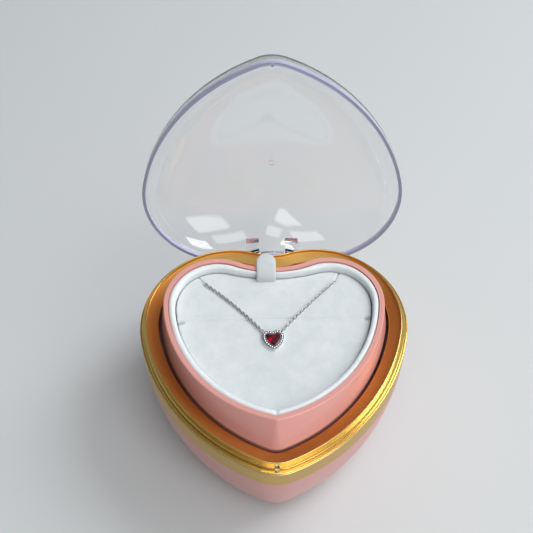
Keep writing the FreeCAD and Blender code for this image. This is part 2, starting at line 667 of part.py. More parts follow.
def spring_parts():
    """The fixed drum over the great wheel and the flat spiral mainspring inside it."""
    x, y, low = size("key_x"), size("key_y"), size("housing_bottom")
    radius, height = size("housing_radius"), size("housing_height")
    drum = rod((x, y, low), radius, height).cut(rod((x, y, low + 1.0), radius - 0.8, height - 2.0))
    drum = drum.cut(rod((x, y, low - 1.0), size("shaft_radius") + 0.06, height + 2.0))
    for side in (-1, 1):
        near, far = sorted((y + side * (radius - 1.0), y + side * 14.8))
        arm = box((x - 3.0, near, low + height - 1.2), (x + 3.0, far, low + height))
        near, far = sorted((y + side * 13.6, y + side * 14.8))
        leg = box((x - 3.0, near, size("bed_bottom") + size("bed_thick")), (x + 3.0, far, low + height))
        drum = drum.fuse([arm.cut(rod((x, y, low), radius - 0.5, height)), leg])
    shape_node("spring_housing", drum.removeSplitter())
    turns, strip = 5, 0.35
    inner = size("shaft_radius") + 0.5
    outer = radius - 1.1
    spiral = []
    for turn in range(turns):
        reach = inner + (outer - inner) * (turn + 0.5) / turns
        spiral.append(rod((x, y, low + 1.6), reach + strip / 2.0, height - 3.2).cut(
            rod((x, y, low + 1.6), reach - strip / 2.0, height - 3.2)))
    spring = spiral[0]
    for turn in range(1, turns):
        side = (-1) ** turn
        middle = inner + (outer - inner) * turn / turns
        half_step = (outer - inner) / turns / 2.0
        near, far = sorted((x + side * (middle - half_step), x + side * (middle + half_step)))
        bridge = box((near, y - 0.2, low + 1.6), (far, y + 0.2, low + height - 1.6))
        spring = spring.fuse([spiral[turn], bridge])
    shape_node("mainspring", spring.removeSplitter())


# ---------------------------------------------------------------- movement
COMB_SCREWS = [4.0, 11.0, 18.0]
BED_CORNERS = [(-28.0, -31.0), (25.0, -31.0), (32.0, -22.0), (32.0, 12.0), (-28.0, 12.0)]


def bedplate():
    """The zinc bedplate with the comb's seat block, drawn as a PartDesign body."""
    body = body_of("bed_body")
    outline = sketch_on(body, "XY_Plane", "bed_outline")
    corners = BED_CORNERS
    lines = []
    for index, corner in enumerate(corners):
        after = corners[(index + 1) % len(corners)]
        lines.append(outline.addGeometry(Part.LineSegment(Vector(*corner, 0), Vector(*after, 0)), False))
    for index, line in enumerate(lines):
        outline.addConstraint(Sketcher.Constraint("Coincident", line, 2, lines[(index + 1) % len(lines)], 1))
    circle(outline, size("key_x"), size("key_y"), "Sizes.shaft_radius + Sizes.running_gap", 2.05)
    for x, y in BED_POSTS:
        circle(outline, x, y, "1.3", 1.3)
    plate = pad_up(body, outline, "bed_pad", "Sizes.bed_thick")
    body.setExpression("Placement.Base.z", "Sizes.bed_bottom")
    doc.recompute()
    block = primitive("Box", "comb_block", ("Sizes.cylinder_start", "-31", "Sizes.bed_bottom + Sizes.bed_thick"),
                      Length="Sizes.cylinder_length", Width="8",
                      Height="Sizes.axis_height - Sizes.comb_thick / 2 - Sizes.bed_bottom - Sizes.bed_thick")
    holes = [primitive("Cylinder", f"comb_hole_{index}", (x, "-27", "Sizes.axis_height - 5"), Radius="0.8", Height="6")
             for index, x in enumerate(COMB_SCREWS)]
    node("movement_bedplate", cut("movement_bedplate_solid", fuse("bed_and_block", [body, block]), holes))


def comb():
    """The steel comb: a plate whose front edge is slit into tuned teeth."""
    low = size("axis_height") - size("comb_thick") / 2.0
    start, length = size("cylinder_start"), size("cylinder_length")
    tip_y = size("key_y") - size("cylinder_radius") - 0.6
    plate = box((start, -31.0, low), (start + length, tip_y, low + size("comb_thick")))
    count = int(size("comb_teeth"))
    pitch = length / count
    slit = 0.3
    for index in range(1, count):
        x = start + index * pitch
        root = -19.5 - 4.0 * index / count
        plate = plate.cut(box((x - slit / 2.0, root, low - 1.0), (x + slit / 2.0, tip_y + 1.0, low + 3.0)))
    for x in COMB_SCREWS:
        plate = plate.cut(rod((x, -27.0, low - 1.0), 1.0, 4.0))
    shape_node("comb", plate)
    top = low + size("comb_thick")
    shape_node("comb_screws", group([screw((x, -27.0, top), 1.9, 1.2, 0.78, 5.0) for x in COMB_SCREWS]))


def cylinder_parts():
    """The pinned cylinder, its shaft, drive pinion and end gear, and the two bearing posts."""
    y, z = size("key_y"), size("axis_height")
    start, length, radius = size("cylinder_start"), size("cylinder_length"), size("cylinder_radius")
    shaft_radius = size("cylinder_shaft_radius")
    drum = rod((start, y, z), radius, length, (1, 0, 0)).cut(rod((start, y, z), shaft_radius, length, (1, 0, 0)))
    pins = []
    count = int(size("comb_teeth"))
    golden = 137.5
    for tooth in range(count):
        for beat in range(3):
            angle = math.radians(20.0 + golden * (tooth * 3 + beat) % 320.0)
            x = start + (tooth + 0.5) * length / count
            direction = Vector(0, math.cos(angle + math.pi / 9), math.sin(angle + math.pi / 9))
            pins.append(rod((x, y + direction.y * (radius - 0.4), z + direction.z * (radius - 0.4)),
                            0.16, 0.85, tuple(direction)))
    shape_node("music_cylinder", drum.multiFuse(pins))
    shaft_start = size("key_x") + size("crown_radius") - 1.6
    shaft_end = 27.0
    shape_node("cylinder_shaft", rod((shaft_start, y, z), shaft_radius, shaft_end - shaft_start, (1, 0, 0)))
    pinion_module = 2.0 * size("crown_radius") / size("crown_teeth")
    pinion = gear_blank(int(size("pinion_teeth")), pinion_module, 2.0,
                        (size("key_x") + size("crown_radius") - 1.0, y, z), 0.5)
    pinion = pinion.cut(rod((shaft_start - 1.0, y, z), shaft_radius, 10.0, (1, 0, 0)))
    shape_node("cylinder_pinion", pinion)
    gear = gear_blank(20, size("train_module"), 1.5, (24.5, y, z), 0.0)
    shape_node("cylinder_gear", gear.cut(rod((24.0, y, z), shaft_radius, 3.0, (1, 0, 0))))
    posts = []
    bed_top = size("bed_bottom") + size("bed_thick")
    for x in (-1.6, 21.7):
        post = box((x, y - 2.6, bed_top), (x + 1.6, y + 2.6, z + 2.6))
        posts.append(post.cut(rod((x - 1.0, y, z), shaft_radius + size("running_gap"), 4.0, (1, 0, 0))))
    shape_node("cylinder_posts", group(posts))


TRAIN_Y = -1.0
FLY_X = 29.3
FLY_Y = 7.2


def governor():
    """Train wheel, worm spindle with its air-brake fly, and the bracket that carries both."""
    z = size("axis_height")
    bed_top = size("bed_bottom") + size("bed_thick")
    arbor = rod((23.2, TRAIN_Y, z), 0.8, 8.2, (1, 0, 0))
    pinion = gear_blank(8, size("train_module"), 1.6, (24.45, TRAIN_Y, z), 0.5)
    wheel = gear_blank(24, size("train_module"), 1.0, (28.8, TRAIN_Y, z), 0.0)
    shape_node("train_wheel", arbor.fuse([pinion, wheel]).removeSplitter())
    spindle = rod((FLY_X, FLY_Y, bed_top + 0.3), 0.6, 15.0)
    worm = rod((FLY_X, FLY_Y, z - 3.0), 1.2, 6.0)
    thread = [Part.makeTorus(1.2, 0.18, Vector(FLY_X, FLY_Y, z - 2.4 + 0.8 * index)) for index in range(7)]
    shape_node("governor_worm", spindle.fuse([worm] + thread))
    hub = rod((FLY_X, FLY_Y, z + 5.8), 1.6, 2.6).cut(rod((FLY_X, FLY_Y, z), 0.6, 10.0))
    blades = box((FLY_X - 5.0, FLY_Y - 0.3, z + 6.0), (FLY_X + 5.0, FLY_Y + 0.3, z + 8.2))
    blades = blades.cut(rod((FLY_X, FLY_Y, z), 0.6, 10.0))
    shape_node("air_brake_fly", hub.fuse(blades).removeSplitter())
    frame = box((22.6, TRAIN_Y - 2.0, bed_top), (23.9, TRAIN_Y + 2.0, z + 2.0))
    frame = frame.cut(rod((22.0, TRAIN_Y, z), 0.8 + size("running_gap"), 4.0, (1, 0, 0)))
    far = box((30.2, TRAIN_Y - 2.0, bed_top), (31.4, TRAIN_Y + 2.0, z + 2.0))
    far = far.cut(rod((29.0, TRAIN_Y, z), 0.8 + size("running_gap"), 6.0, (1, 0, 0)))
    step = rod((FLY_X, FLY_Y, bed_top), 1.6, 1.6).cut(
        rod((FLY_X, FLY_Y, bed_top + 0.25), 0.6 + size("running_gap"), 3.0))
    shape_node("governor_posts", group([frame, far, step]))


def stop_plunger():
    """The lid's stop: a bent wire in the rim's front hole, down through the deck's slot."""
    y = outline_point_y(RIM) + 1.9
    top = size("shelf_top") - 0.95
    low = 43.2
    down_y = outline_point_y(RIM) + 6.5
    upright = rod((0, y, low), 0.9, top - low)
    arm = box((-0.9, y, low), (0.9, down_y + 0.7, low + 1.4))
    drop = box((-0.9, down_y - 0.7, 30.0), (0.9, down_y + 0.7, low + 1.4))
    shape_node("stop_plunger", upright.fuse([arm, drop]).removeSplitter())


def fasteners():
    """Screws that hold the base plate, deck, cup and movement, one node for each set."""
    base_top = size("foot_height") + size("base_thick")
    deck_top = size("deck_bottom") + size("deck_thick")
    bed_top = size("bed_bottom") + size("bed_thick")
    shape_node("deck_screws", group([screw((x, y, deck_top), 2.4, 1.4, 1.15, 8.0) for x, y in DECK_POSTS]))
    shape_node("movement_screws", group([screw((x, y, bed_top), 2.3, 1.3, 0.95, 6.0) for x, y in BED_POSTS]))
    heads = []
    for x, y in CUP_SCREWS:
        upside = screw((x, y, 0.0), 2.2, 1.4, 0.95, size("deck_thick") + 1.6)
        upside.rotate(Vector(x, y, 0), Vector(1, 0, 0), 180)
        upside.translate(Vector(0, 0, size("deck_bottom")))
        heads.append(upside)
    shape_node("cup_screws", group(heads))
    feet_side = []
    for x, y in BASE_SCREWS:
        upside = screw((x, y, 0.0), 2.4, 1.2, 0.95, base_top - size("shell_bottom") - 0.3)
        upside.rotate(Vector(x, y, 0), Vector(1, 0, 0), 180)
        upside.translate(Vector(0, 0, size("shell_bottom")))
        feet_side.append(upside)
    shape_node("base_screws", group(feet_side))


outer_shell()
rim_bezel()
base_plate()
feet()
deck_plate()
inner_cup()
velvet()
chain("necklace_chain_left", (-27.2, 16.8), (-4.5, -5.7), 0.8)
chain("necklace_chain_right", (24.2, 17.0), (3.2, -5.2), -0.4)
pendant()
lid()
hinge_pin()
key_well()
winding_key()
winding_shaft()
crown_wheel()
spring_parts()
bedplate()
comb()
cylinder_parts()
governor()
stop_plunger()
fasteners()

doc.recompute()
os.makedirs("parts", exist_ok=True)
for item in doc.Objects:
    if "Invalid" in item.State or "Error" in item.State:
        raise RuntimeError(f"{item.Label} did not build: {item.State}")
for item in NODES:
    if item.Shape.isNull() or not item.Shape.isValid():
        raise RuntimeError(f"{item.Label} has no valid shape")
bounds = FreeCAD.BoundBox()
for item in NODES:
    item.Shape.exportStep(os.path.join("parts", item.Label + ".step"))
    bounds.add(item.Shape.BoundBox)
    print(f"{item.Label}: {len(item.Shape.Solids)} solids, {item.Shape.Volume:.1f} mm3")
print(f"{len(NODES)} nodes, y {bounds.YMin:.2f} to {bounds.YMax:.2f}, z {bounds.ZMin:.2f} to {bounds.ZMax:.2f}")
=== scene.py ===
# Visual model of the heart-shaped wind-up music box: materials for the CAD frame, and the velvet
# roll, pad and tab, the pendant's stones and the studio round them. Metres, +Z up.
import math
import bmesh
import bpy
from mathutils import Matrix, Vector, noise


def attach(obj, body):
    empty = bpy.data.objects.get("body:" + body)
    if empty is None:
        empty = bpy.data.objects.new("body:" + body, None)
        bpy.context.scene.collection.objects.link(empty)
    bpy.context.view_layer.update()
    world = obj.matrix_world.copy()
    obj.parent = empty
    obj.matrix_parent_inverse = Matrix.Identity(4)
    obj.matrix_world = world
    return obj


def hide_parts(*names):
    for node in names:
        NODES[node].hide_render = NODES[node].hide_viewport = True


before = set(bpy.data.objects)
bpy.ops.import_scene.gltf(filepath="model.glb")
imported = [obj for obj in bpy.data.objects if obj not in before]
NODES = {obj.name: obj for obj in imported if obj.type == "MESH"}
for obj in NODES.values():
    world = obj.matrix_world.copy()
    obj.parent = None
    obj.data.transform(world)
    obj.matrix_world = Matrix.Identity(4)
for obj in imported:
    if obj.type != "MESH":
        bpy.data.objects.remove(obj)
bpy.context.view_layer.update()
MM = 0.001
# the heart outlines' own origin, in the object's frame
HEART_Y = -7.7
# the lid's opening angle, its hinge's place in the heart's frame and its seat's height when shut
LID_ANGLE = 101.4
HINGE_Y, HINGE_Z = 35.05, 45.3
LID_SEAT = 51.45
# offset of the cloth's noise
SEED = Vector((3.1, 7.7, 1.9))
# the camera's frame width and focal length, in the same unit
FRAME_WIDTH, FOCAL = 533.0, 1000.0
CAMERA_DISTANCE = 0.35769
LIGHT_BOUNCES = 24
FLOOR_HALF = 3.0


# ---------------------------------------------------------------- camera, lights, floor
def camera():
    """The camera stands just left of centre and looks down at the open box."""
    azimuth, elevation = math.radians(-0.83), math.radians(54.82)
    target = Vector((-2.96, HEART_Y, 94.48)) * MM
    back = Vector((math.sin(azimuth) * math.cos(elevation),
                   -math.cos(azimuth) * math.cos(elevation), math.sin(elevation)))
    data = bpy.data.cameras.new("camera")
    data.sensor_width = 36.0
    data.lens = data.sensor_width * FOCAL / FRAME_WIDTH
    data.clip_start = 0.01
    obj = bpy.data.objects.new("camera", data)
    obj.location = target + back * CAMERA_DISTANCE
    obj.rotation_euler = (math.pi / 2.0 - elevation, 0.0, azimuth)
    bpy.context.scene.collection.objects.link(obj)
    bpy.context.scene.camera = obj


def area_light(name, place, aim, size, power, colour):
    """A rectangular lamp at a place, turned towards aim."""
    data = bpy.data.lights.new(name, "AREA")
    data.shape = "RECTANGLE"
    data.size, data.size_y = size
    data.energy = power
    data.color = colour
    obj = bpy.data.objects.new(name, data)
    obj.location = place
    obj.rotation_euler = (Vector(aim) - Vector(place)).to_track_quat("-Z", "Y").to_euler()
    bpy.context.scene.collection.objects.link(obj)


def studio():
    """A pale floor, a large soft key from the right and behind, a fill from the front right and a
    room that is bright on the right and dim on the left."""
    scene = bpy.context.scene
    scene.view_settings.view_transform = "Standard"
    scene.view_settings.look = "None"
    scene.cycles.max_bounces = LIGHT_BOUNCES
    scene.cycles.transmission_bounces = LIGHT_BOUNCES
    scene.cycles.transparent_max_bounces = LIGHT_BOUNCES
    world = bpy.data.worlds.new("studio")
    world.use_nodes = True
    tree = world.node_tree
    back = tree.nodes["Background"]
    split = axes(tree, "Generated")
    ramp = tree.nodes.new("ShaderNodeValToRGB")
    ramp.color_ramp.elements[0].position = 0.0
    ramp.color_ramp.elements[0].color = (0.07, 0.065, 0.06, 1.0)
    ramp.color_ramp.elements[1].position = 1.0
    ramp.color_ramp.elements[1].color = (1.22, 1.31, 1.38, 1.0)
    tree.links.new(step_up(tree, split["X"], -1.0, 1.0), ramp.inputs["Fac"])
    tree.links.new(ramp.outputs["Color"], back.inputs["Color"])
    back.inputs["Strength"].default_value = 0.55
    scene.world = world

    area_light("key", (0.75, 0.30, 0.95), (0.0, 0.0, 0.03), (0.6, 0.6), 7.8, (0.97, 0.99, 1.0))
    area_light("top", (0.10, -0.35, 1.1), (0.0, -0.05, 0.0), (0.7, 0.5), 2.6, (0.98, 0.99, 1.0))
    area_light("fill", (0.55, -0.85, 0.70), (0.0, -0.05, 0.03), (0.8, 0.6), 4.4, (1.0, 0.99, 0.98))

    size = FLOOR_HALF
    mesh = bpy.data.meshes.new("floor")
    mesh.from_pydata([(-size, -size, 0), (size, -size, 0), (size, size, 0), (-size, size, 0)], [],
                     [(0, 1, 2, 3)])
    floor = bpy.data.objects.new("floor", mesh)
    scene.collection.objects.link(floor)
    mesh.materials.append(material("floor_paper", (0.605, 0.615, 0.615), 0.75)[0])


# ---------------------------------------------------------------- materials
def material(name, colour, roughness, metallic=0.0, **inputs):
    """A Principled material; inputs are named with underscores, such as Coat_Weight."""
    mat = bpy.data.materials.new(name)
    mat.use_nodes = True
    tree = mat.node_tree
    shader = tree.nodes["Principled BSDF"]
    shader.inputs["Base Color"].default_value = (*colour, 1.0)
    shader.inputs["Roughness"].default_value = roughness
    shader.inputs["Metallic"].default_value = metallic
    for key, value in inputs.items():
        shader.inputs[key.replace("_", " ")].default_value = value
    return mat, tree, shader


def object_place(tree):
    """The place on the object, in its own coordinates."""
    return tree.nodes.new("ShaderNodeTexCoord").outputs["Object"]


def axes(tree, coordinates):
    """The X, Y and Z of one kind of texture coordinate."""
    split = tree.nodes.new("ShaderNodeSeparateXYZ")
    tree.links.new(tree.nodes.new("ShaderNodeTexCoord").outputs[coordinates], split.inputs[0])
    return split.outputs


def noise_node(tree, scale, detail, stretch=None, rough=0.5):
    """A noise value over the object's own coordinates, optionally stretched along an axis."""
    source = object_place(tree)
    if stretch:
        mapping = tree.nodes.new("ShaderNodeMapping")
        mapping.inputs["Scale"].default_value = stretch
        tree.links.new(source, mapping.inputs["Vector"])
        source = mapping.outputs["Vector"]
    node = tree.nodes.new("ShaderNodeTexNoise")
    node.inputs["Scale"].default_value = scale
    node.inputs["Detail"].default_value = detail
    node.inputs["Roughness"].default_value = rough
    tree.links.new(source, node.inputs["Vector"])
    return node.outputs["Fac"]


def vary(tree, value, low, high):
    """Map a 0-1 value to low-high."""
    node = tree.nodes.new("ShaderNodeMapRange")
    node.inputs["To Min"].default_value = low
    node.inputs["To Max"].default_value = high
    tree.links.new(value, node.inputs["Value"])
    return node.outputs["Result"]


def step_up(tree, value, low, high):
    """Rises from 0 at low to 1 at high."""
    node = tree.nodes.new("ShaderNodeMapRange")
    node.inputs["From Min"].default_value = low
    node.inputs["From Max"].default_value = high
    tree.links.new(value, node.inputs["Value"])
    return node.outputs["Result"]


def arithmetic(tree, operation, first, second):
    """Two values joined by a math node."""
    node = tree.nodes.new("ShaderNodeMath")
    node.operation = operation
    tree.links.new(first, node.inputs[0])
    tree.links.new(second, node.inputs[1])
    return node.outputs[0]


def product(tree, first, second):
    return arithmetic(tree, "MULTIPLY", first, second)


def total(tree, first, second):
    return arithmetic(tree, "ADD", first, second)


def blend_colours(tree, factor, first, second, how="MIX"):
    """Blend two colours; each is either a tuple or another node's output, and so is the factor."""
    node = tree.nodes.new("ShaderNodeMix")
    node.data_type = "RGBA"
    node.blend_type = how
    if isinstance(factor, float):
        node.inputs[0].default_value = factor
    else:
        tree.links.new(factor, node.inputs[0])
    for socket, colour in ((6, first), (7, second)):
        if isinstance(colour, tuple):
            node.inputs[socket].default_value = (*colour, 1.0)
        else:
            tree.links.new(colour, node.inputs[socket])
    return node.outputs[2]


def bump(tree, shader, height, distance, strength, normal=None):
    """Bump the shader by a height, on top of an earlier bump's normal if there is one."""
    node = tree.nodes.new("ShaderNodeBump")
    node.inputs["Strength"].default_value = strength
    node.inputs["Distance"].default_value = distance
    tree.links.new(height, node.inputs["Height"])
    if normal is not None:
        tree.links.new(normal, node.inputs["Normal"])
    tree.links.new(node.outputs["Normal"], shader.inputs["Normal"])
    return node.outputs["Normal"]


def lacquer(name, colour, other, roughness):
    """Satin lacquered plastic: faint mottling, slightly uneven gloss and a soft clear coat."""
    mat, tree, shader = material(name, colour, roughness, Coat_Weight=0.25, Coat_Roughness=0.18)
    shader.inputs["Specular IOR Level"].default_value = 0.5
    cloud = noise_node(tree, 45.0, 3.0)
    tree.links.new(blend_colours(tree, cloud, colour, other), shader.inputs["Base Color"])
    tree.links.new(vary(tree, noise_node(tree, 160.0, 4.0), roughness - 0.04, roughness + 0.05),
                   shader.inputs["Roughness"])
    bump(tree, shader, noise_node(tree, 1400.0, 2.0), 0.00002, 0.35)
    return mat


def gilt():
    """The rim's gold: satin on the outer band, polished on the lips and channel, and a satin ledge
    whose colour is a painted reflection: redder at the front for the pink cup, golden at the back."""
    mat, tree, shader = material("rim_gold", (0.80, 0.50, 0.18), 0.2, 1.0)
    place, facing = axes(tree, "Object"), axes(tree, "Normal")
    band = step_up(tree, place["Z"], 0.0484, 0.0494)
    ledge = product(tree, product(tree, step_up(tree, place["Z"], 0.05152, 0.05160),
                                  step_up(tree, place["Z"], 0.05252, 0.05244)),
                    step_up(tree, facing["Z"], 0.90, 0.94))
    bright = blend_colours(tree, band, (0.64, 0.43, 0.145), (0.80, 0.54, 0.17))
    # painted reflection: the ledge is painted redder at the front and sides, where the pink cup is
    # reflected, and golden towards the back
    back = step_up(tree, place["Y"], 0.006, 0.026)
    painted_reflection_gilding = blend_colours(tree, back, (0.56, 0.185, 0.045), (0.74, 0.42, 0.12))
    tree.links.new(blend_colours(tree, ledge, bright, painted_reflection_gilding), shader.inputs["Base Color"])
    grain = noise_node(tree, 220.0, 3.0, (1.0, 1.0, 9.0))
    rough = total(tree, vary(tree, band, 0.36, 0.22), vary(tree, ledge, 0.0, 0.16))
    tree.links.new(total(tree, rough, vary(tree, grain, -0.03, 0.05)), shader.inputs["Roughness"])
    return mat


def metal(name, colour, roughness, brushed=None):
    """Metal with a fine grain, drawn out along an axis where it is brushed."""
    mat, tree, shader = material(name, colour, roughness, 1.0)
    grain = noise_node(tree, 900.0, 3.0, brushed)
    tree.links.new(vary(tree, grain, max(0.02, roughness - 0.06), roughness + 0.08),
                   shader.inputs["Roughness"])
    bump(tree, shader, grain, 0.00001, 0.3)
    return mat


def let_light_through(mat, tint):
    """Lamps shine through the clear part instead of leaving a solid shadow."""
    tree = mat.node_tree
    shader = tree.nodes["Principled BSDF"]
    out = tree.nodes["Material Output"]
    clear = tree.nodes.new("ShaderNodeBsdfTransparent")
    clear.inputs["Color"].default_value = (*tint, 1.0)
    path = tree.nodes.new("ShaderNodeLightPath")
    mix = tree.nodes.new("ShaderNodeMixShader")
    tree.links.new(path.outputs["Is Shadow Ray"], mix.inputs[0])
    tree.links.new(shader.outputs[0], mix.inputs[1])
    tree.links.new(clear.outputs[0], mix.inputs[2])
    tree.links.new(mix.outputs[0], out.inputs["Surface"])


def clear_plastic():
    """Clear moulded plastic; in the thick edge at its seat a painted refraction: violet-grey, less
    clear and a little rough.
    """
    mat, tree, shader = material("lid_clear", (0.985, 0.985, 0.995), 0.0, Transmission_Weight=1.0,
                                 IOR=1.46)
    turn = math.radians(LID_ANGLE)
    along = tree.nodes.new("ShaderNodeVectorMath")
    along.operation = "DOT_PRODUCT"
    along.inputs[1].default_value = (0.0, math.sin(turn), math.cos(turn))
    tree.links.new(object_place(tree), along.inputs[0])
    hinge_y, hinge_z = (HINGE_Y + HEART_Y) * MM, HINGE_Z * MM
    seat = (LID_SEAT - HINGE_Z) * MM + hinge_y * math.sin(turn) + hinge_z * math.cos(turn)
    edge = step_up(tree, along.outputs["Value"], seat + 2.5 * MM, seat + 1.4 * MM)
    above = step_up(tree, along.outputs["Value"], seat - 0.3 * MM, seat - 0.05 * MM)
    streak = vary(tree, noise_node(tree, 28.0, 2.0), 0.62, 1.0)
    # painted refraction: the edge band is painted violet-grey for the room seen bent through the
    # thick plastic
    painted_refraction_mask = product(tree, product(tree, edge, above), streak)
    tree.links.new(blend_colours(tree, painted_refraction_mask, (0.985, 0.985, 0.995), (0.40, 0.39, 0.62)),
                   shader.inputs["Base Color"])
    tree.links.new(vary(tree, painted_refraction_mask, 1.0, 0.35), shader.inputs["Transmission Weight"])
    tree.links.new(vary(tree, painted_refraction_mask, 0.0, 0.12), shader.inputs["Roughness"])
    let_light_through(mat, (0.93, 0.93, 0.94))
    return mat


def ruby():
    """Dark red cut crystal, nearly black, with painted light: each facet's red painted lighter or
    darker, and a painted red glow low on the left where light would leave the stone.
    """
    mat, tree, shader = material("red_gem", (0.03, 0.0, 0.004), 0.05, Coat_Weight=0.35,
                                 Coat_Roughness=0.03)
    shader.inputs["Specular IOR Level"].default_value = 0.35
    cells = tree.nodes.new("ShaderNodeTexVoronoi")
    cells.inputs["Scale"].default_value = 700.0
    tree.links.new(object_place(tree), cells.inputs["Vector"])
    shade = tree.nodes.new("ShaderNodeSeparateXYZ")
    tree.links.new(cells.outputs["Color"], shade.inputs[0])
    # painted light: each facet is painted a lighter or darker red for light inside the stone
    painted_facet_light = blend_colours(tree, shade.outputs["X"], (0.012, 0.0, 0.003), (0.14, 0.0, 0.012))
    # painted glow: a brighter red spot low on the left stands for light leaving the stone
    painted_glow = near_spot(tree, (-1.9, -17.9, 59.9), 0.9, 1.5)
    tree.links.new(blend_colours(tree, painted_glow, painted_facet_light, (0.50, 0.0, 0.014)),
                   shader.inputs["Base Color"])
    return mat


def near_spot(tree, place, inner, outer):
    """1 within inner mm of a place in the object's frame, falling to 0 at outer mm."""
    away = tree.nodes.new("ShaderNodeVectorMath")
    away.operation = "DISTANCE"
    away.inputs[1].default_value = tuple(value * MM for value in place)
    tree.links.new(object_place(tree), away.inputs[0])
    return step_up(tree, away.outputs["Value"], outer * MM, inner * MM)


def pendant_silver():
    """Polished silver, with painted shade: the plate's upward top between the halo's stones is
    painted nearly black for the shade in those recesses.
    """
    mat, tree, shader = material("pendant_silver", (0.8, 0.8, 0.8), 0.16, 1.0)
    place, facing = axes(tree, "Object"), axes(tree, "Normal")
    # painted shade: the upward-facing top of the plate, seen in the gaps between the halo's
    # stones, is painted nearly black
    painted_recess_shade = product(tree, step_up(tree, facing["Z"], 0.90, 0.98),
                   step_up(tree, place["Z"], 0.06010, 0.06000))
    tree.links.new(blend_colours(tree, painted_recess_shade, (0.80, 0.80, 0.81), (0.07, 0.07, 0.07)),
                   shader.inputs["Base Color"])
    return mat


def crystal():
    """Small brilliant stones: nearly mirror-bright with cool glints."""
    return material("clear_gem", (0.80, 0.82, 0.84), 0.05, 0.7, Coat_Weight=1.0,
                    Coat_Roughness=0.02, IOR=2.2)[0]


def velvet_material(name, light):
    """Short-pile velvet: a nap that lightens where it leans, fine fibres and soft sheen."""
    mat, tree, shader = material(name, (0.70, 0.74, 0.745), 0.92, Sheen_Weight=0.35,
                                 Sheen_Roughness=0.45)
    shader.inputs["Specular IOR Level"].default_value = 0.15
    nap = noise_node(tree, 130.0, 4.0, None, 0.65)
    fibres = noise_node(tree, 2600.0, 3.0, None, 0.75)
    # the last argument scales the whole tone, giving each piece a lighter or darker painted copy
    # for how light falls on it
    tone = blend_colours(tree, vary(tree, nap, -0.2, 1.2),
                         (0.60 * light, 0.635 * light, 0.645 * light),
                         (0.77 * light, 0.79 * light, 0.79 * light))
    speck = blend_colours(tree, vary(tree, fibres, -0.6, 1.6), (0.74, 0.75, 0.76), (1.0, 1.0, 1.0))
    tree.links.new(blend_colours(tree, 0.35, tone, speck, "MULTIPLY"), shader.inputs["Base Color"])
    first = bump(tree, shader, fibres, 0.00012, 0.5)
    bump(tree, shader, noise_node(tree, 700.0, 2.0), 0.0001, 0.25, first)
    return mat


def plastic(name, colour, roughness):
    """Moulded plastic or rubber with a fine grain."""
    mat, tree, shader = material(name, colour, roughness)
    grain = noise_node(tree, 1800.0, 3.0)
    tree.links.new(vary(tree, grain, roughness - 0.05, roughness + 0.08),
                   shader.inputs["Roughness"])
    bump(tree, shader, grain, 0.00003, 0.4)
    return mat


def dress_nodes():
    """Give every CAD node its finished material."""
    shell = lacquer("shell_pink", (0.60, 0.275, 0.245), (0.64, 0.295, 0.265), 0.34)
    cup = lacquer("cup_pink", (0.68, 0.31, 0.27), (0.72, 0.33, 0.29), 0.30)
    steel = metal("steel", (0.55, 0.55, 0.57), 0.25, (1.0, 1.0, 12.0))
    brass = metal("brass", (0.72, 0.50, 0.20), 0.22, (12.0, 1.0, 1.0))
    zinc = metal("zinc", (0.50, 0.51, 0.52), 0.42)
    silver = metal("chrome_silver", (0.60, 0.60, 0.60), 0.14)
    blued = metal("spring_steel", (0.16, 0.19, 0.26), 0.28)
    rubber = plastic("rubber", (0.018, 0.018, 0.019), 0.7)
    base = plastic("base_plastic", (0.46, 0.27, 0.24), 0.5)
    deck = plastic("deck_plastic", (0.52, 0.31, 0.28), 0.5)
    board = plastic("board", (0.52, 0.52, 0.50), 0.85)
    finishes = {"outer_shell": shell, "inner_cup": cup, "rim_bezel": gilt(),
                "lid_dome": clear_plastic(), "base_plate": base, "key_well": base,
                "deck_plate": deck, "rubber_feet": rubber, "insert_board": board,
                "necklace_chain_left": silver, "necklace_chain_right": silver,
                "pendant_setting": pendant_silver(), "heart_stone": ruby(),
                "halo_stones": crystal(),
                "mainspring": blued, "great_wheel": brass, "music_cylinder": brass,
                "cylinder_pinion": brass, "cylinder_gear": brass, "train_wheel": brass,
                "spring_housing": zinc, "movement_bedplate": zinc, "cylinder_posts": zinc,
                "governor_posts": zinc, "air_brake_fly": zinc}
    for name, obj in NODES.items():
        obj.data.materials.clear()
        obj.data.materials.append(finishes.get(name, steel))


# ---------------------------------------------------------------- heart outlines
CUP = {"half_width": 43.0, "lobe_radius": 20.75, "lobe_y": 6.4, "point_y": -42.4,
       "point_radius": 2.3, "side_radius": 54.3, "cleft_radius": 36.2}
# the pad's cleft is shallower than the cup's
SOFT = {**CUP, "cleft_radius": 60.0}
# points along each of the outline's six arcs, from the right lobe round to the cleft
ARC_SAMPLES = (64, 72, 20, 72, 64, 48)


